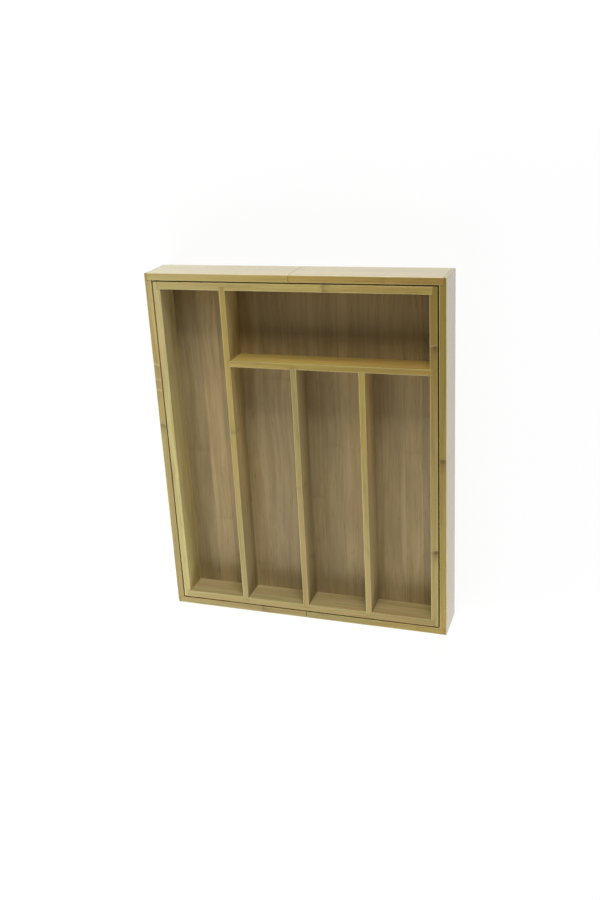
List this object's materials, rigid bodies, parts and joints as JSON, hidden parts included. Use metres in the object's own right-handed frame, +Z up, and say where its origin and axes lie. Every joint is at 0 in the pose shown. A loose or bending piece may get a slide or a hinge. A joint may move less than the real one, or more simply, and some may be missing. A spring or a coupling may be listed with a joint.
{
  "type": "expandable cutlery tray",
  "caption": "Bamboo drawer tray for cutlery with long compartments and a cross compartment, in a frame whose two U-shaped wings slide out sideways to make it wider.",
  "frame": {"origin": "centre of the closed tray's underside, on the surface that it lies on", "axes": "+X across the width, along which the wings slide; +Y along the length, towards the end with the cross compartment; +Z up, out of the compartments"},
  "size_m": [0.288, 0.352, 0.042],
  "materials": {
    "frame_bamboo": "planed bamboo, satin lacquer",
    "wall_bamboo": "planed bamboo, satin lacquer",
    "floor_bamboo": "edge-glued bamboo strips, satin lacquer",
    "pin_bamboo": "plain dowel"
  },
  "bodies": {
    "tray": {"tray_floor": "floor_bamboo", "back_wall": "wall_bamboo", "front_wall": "wall_bamboo", "left_wall": "wall_bamboo", "right_wall": "wall_bamboo", "long_divider": "wall_bamboo", "cross_divider": "wall_bamboo", "middle_divider": "wall_bamboo", "right_divider": "wall_bamboo"},
    "left_wing": {"left_wing_side": "frame_bamboo", "left_wing_back_rail": "frame_bamboo", "left_wing_front_rail": "frame_bamboo", "left_wing_floor": "floor_bamboo", "left_stop_pins": "pin_bamboo"},
    "right_wing": {"right_wing_side": "frame_bamboo", "right_wing_back_rail": "frame_bamboo", "right_wing_front_rail": "frame_bamboo", "right_wing_floor": "floor_bamboo", "right_stop_pins": "pin_bamboo"}
  },
  "joints": [
    {"name": "left_wing_slide", "type": "slide", "parent": "tray", "child": "left_wing", "axis": [-1, 0, 0], "range_m": [0, 0.08]},
    {"name": "right_wing_slide", "type": "slide", "parent": "tray", "child": "right_wing", "axis": [1, 0, 0], "range_m": [0, 0.08]}
  ]
}
